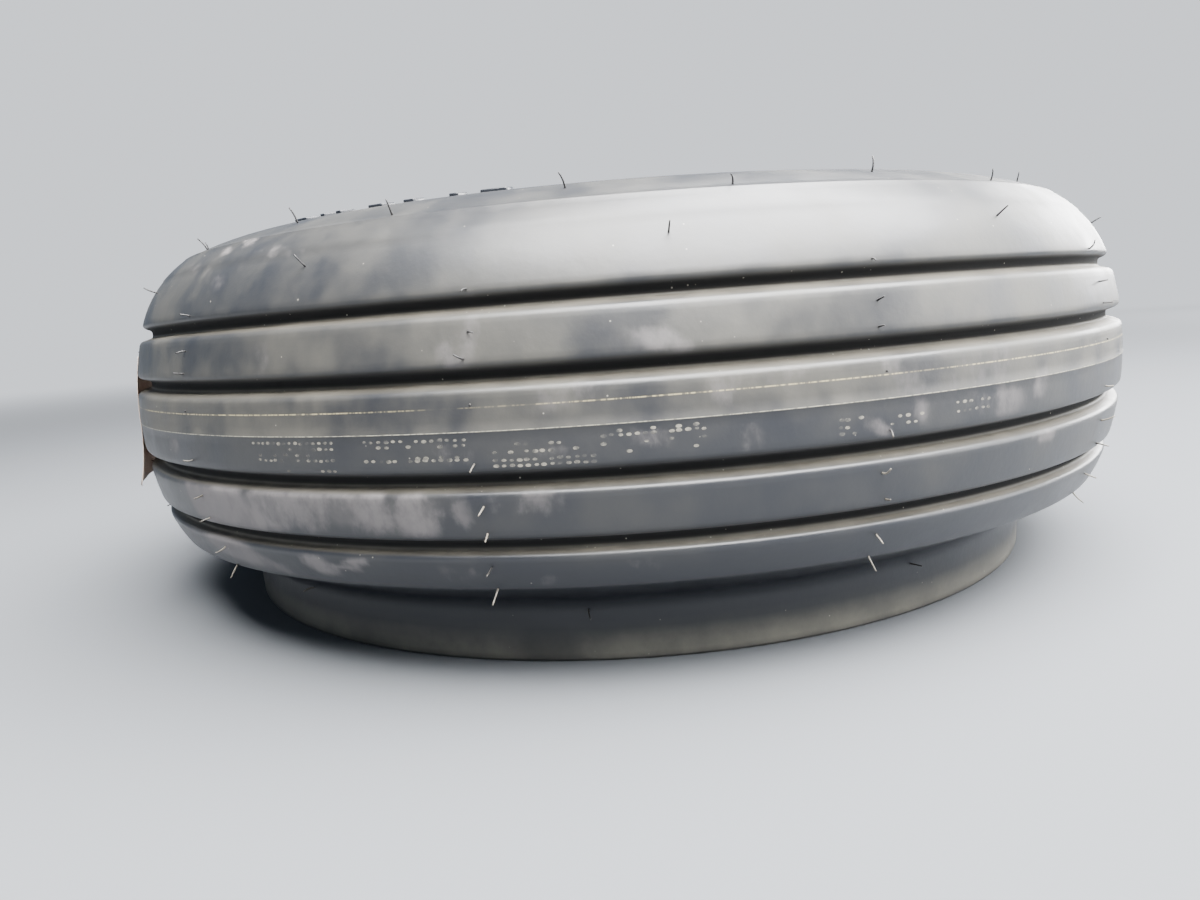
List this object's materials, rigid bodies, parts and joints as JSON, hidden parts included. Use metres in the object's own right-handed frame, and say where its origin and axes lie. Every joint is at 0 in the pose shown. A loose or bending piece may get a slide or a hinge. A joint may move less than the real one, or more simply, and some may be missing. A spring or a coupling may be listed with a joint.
{
  "type": "aircraft tire",
  "caption": "Unmounted aircraft nose-wheel tire with straight tread grooves and a spray-deflecting chine moulded on its lower shoulder, and a paper label on its tread.",
  "frame": {"origin": "on the tire's axis, in the plane that the tip of its chine stands on", "axes": "+Z along the tire's axis, away from the chine; -Y towards the side with the label's near edge at its left"},
  "size_m": [0.4475, 0.4444, 0.1527],
  "materials": {
    "rubber": "satin moulded rubber with dust and pale scuffs",
    "paper": "matte brown paper"
  },
  "bodies": {
    "root": {"tire": "rubber", "paper_label": "paper"}
  },
  "joints": []
}
